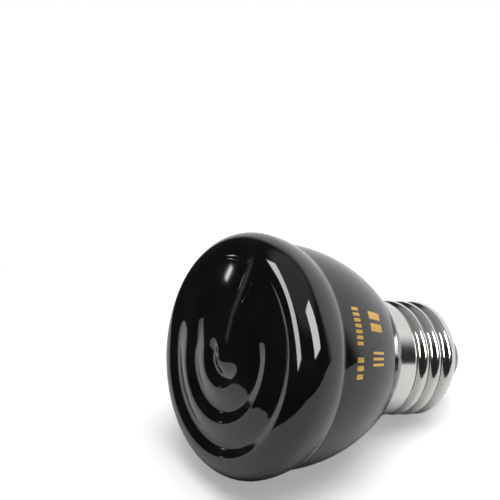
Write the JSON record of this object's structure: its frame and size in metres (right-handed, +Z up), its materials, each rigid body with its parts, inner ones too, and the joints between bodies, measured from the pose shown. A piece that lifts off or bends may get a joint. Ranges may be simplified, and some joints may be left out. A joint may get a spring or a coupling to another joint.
{
  "type": "ceramic heat emitter",
  "caption": "Black glazed ceramic heat emitter bulb with a swirl of rounded rings on its flat front, a domed back and an E27 screw cap.",
  "frame": {"origin": "centre of the footprint, on the floor that the lamp lies on", "axes": "+Y from the front face to the screw cap, +Z up, the lamp's axis in the YZ plane and 17.9 degrees below +Y toward the cap"},
  "size_m": [0.0534, 0.069, 0.0528],
  "materials": {
    "black_glaze": "gloss",
    "shell_metal": "nickel plate, satin gloss",
    "cement": "matt",
    "insulator_ceramic": "semi gloss",
    "contact_metal": "satin",
    "solder": "satin",
    "lead_wire": "satin",
    "glass_sleeve": "woven, matt"
  },
  "bodies": {
    "root": {"ceramic_body": "black_glaze", "screw_shell": "shell_metal", "neck_cement": "cement", "base_insulator": "insulator_ceramic", "centre_contact": "contact_metal", "contact_solder": "solder", "live_lead": "lead_wire", "neutral_lead": "lead_wire", "live_sleeve": "glass_sleeve", "neutral_sleeve": "glass_sleeve"}
  },
  "joints": []
}
